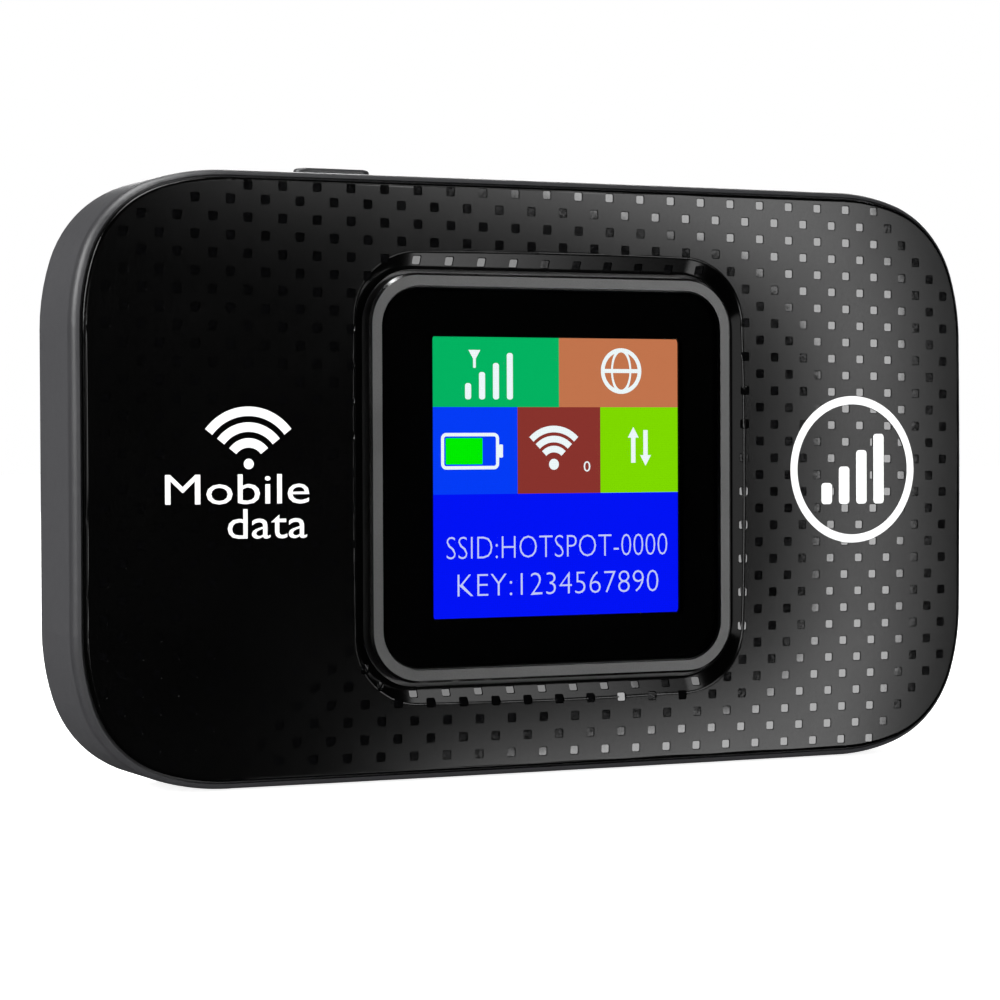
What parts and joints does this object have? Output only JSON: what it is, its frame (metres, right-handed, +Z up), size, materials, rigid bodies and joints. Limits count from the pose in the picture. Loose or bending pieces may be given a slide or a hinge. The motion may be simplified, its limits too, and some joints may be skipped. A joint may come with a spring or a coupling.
{
  "type": "mobile hotspot",
  "caption": "Pocket mobile hotspot: rounded flat case with a glossy dimpled front, small square display, top power key, USB socket and pull-off rear cover.",
  "frame": {"origin": "centre of the bottom of the whole box, on the surface that the device stands on", "axes": "+X along the width, right when facing the display; +Y from the display to the back; +Z up"},
  "size_m": [0.0984, 0.0146, 0.0598],
  "materials": {
    "panel_gloss": "high gloss black moulding",
    "frame_satin": "satin dark grey",
    "cover_satin": "fine satin grey paint",
    "key_satin": "fine satin grey",
    "housing_black": "fine spark texture",
    "ring_metal": "satin with a bright chamfer",
    "window_clear": "polished, black printed border",
    "picture": "lit picture",
    "backlight_white": "white moulding",
    "film_amber": "polyimide film",
    "moulding_ivory": "natural moulding",
    "moulding_black": "glass-filled moulding",
    "foam_black": "foam",
    "board_green": "solder mask",
    "chip_black": "moulded package",
    "sheet_steel": "tinned sheet",
    "screw_steel": "zinc plated",
    "gold_plate": "gold plated",
    "card_white": "white card",
    "battery_foil": "dark wrap over a foil cell",
    "label_paper": "plain paper label"
  },
  "bodies": {
    "case": {"front_panel": "panel_gloss", "front_frame": "frame_satin", "panel_tape": "foam_black", "display_ring": "ring_metal", "display_window": "window_clear", "window_gasket": "foam_black", "lcd_glass": "picture", "lcd_backlight": "backlight_white", "lcd_ribbon": "film_amber", "lcd_connector": "moulding_ivory", "display_pad": "foam_black", "main_board": "board_green", "board_chips": "chip_black", "shield_can_modem": "sheet_steel", "shield_can_wireless": "sheet_steel", "usb_shell": "sheet_steel", "usb_tongue": "moulding_black", "power_switch": "moulding_black", "reset_switch": "moulding_black", "sim_socket_base": "moulding_black", "sim_socket_shell": "sheet_steel", "battery_contact_block": "moulding_black", "main_antenna": "film_amber", "wireless_antenna": "film_amber", "antenna_clips": "gold_plate", "rear_housing": "housing_black", "housing_screws": "screw_steel"},
    "rear_cover": {"rear_cover": "cover_satin"},
    "battery_pack": {"battery": "battery_foil", "battery_label": "label_paper", "battery_terminals": "gold_plate"},
    "power_key": {"power_button": "key_satin", "power_plunger": "moulding_ivory"},
    "reset_pin": {"reset_button": "moulding_ivory"},
    "sim": {"sim_card": "card_white"},
    "contact_springs": {"battery_contacts": "gold_plate"}
  },
  "joints": [
    {"name": "cover_removal", "type": "slide", "parent": "case", "child": "rear_cover", "axis": [0, 1, 0], "range_m": [0, 0.03]},
    {"name": "battery_removal", "type": "slide", "parent": "case", "child": "battery_pack", "axis": [0, 1, 0], "range_m": [0, 0.015]},
    {"name": "power_press", "type": "slide", "parent": "case", "child": "power_key", "axis": [0, 0, -1], "range_m": [0, 0.0004], "stiffness_N_per_m": 400, "springref_m": -0.0002},
    {"name": "reset_press", "type": "slide", "parent": "case", "child": "reset_pin", "axis": [0, -1, 0], "range_m": [0, 0.0003], "stiffness_N_per_m": 300, "springref_m": -0.0002},
    {"name": "contact_press", "type": "slide", "parent": "case", "child": "contact_springs", "axis": [-1, 0, 0], "range_m": [0, 0.0003], "stiffness_N_per_m": 300, "springref_m": -0.0002},
    {"name": "sim_slide", "type": "slide", "parent": "case", "child": "sim", "axis": [0, 0, -1], "range_m": [0, 0.013]}
  ],
  "couplings": [
    {"joint": "battery_removal", "follows": "cover_removal", "ratio": 0.5}
  ]
}
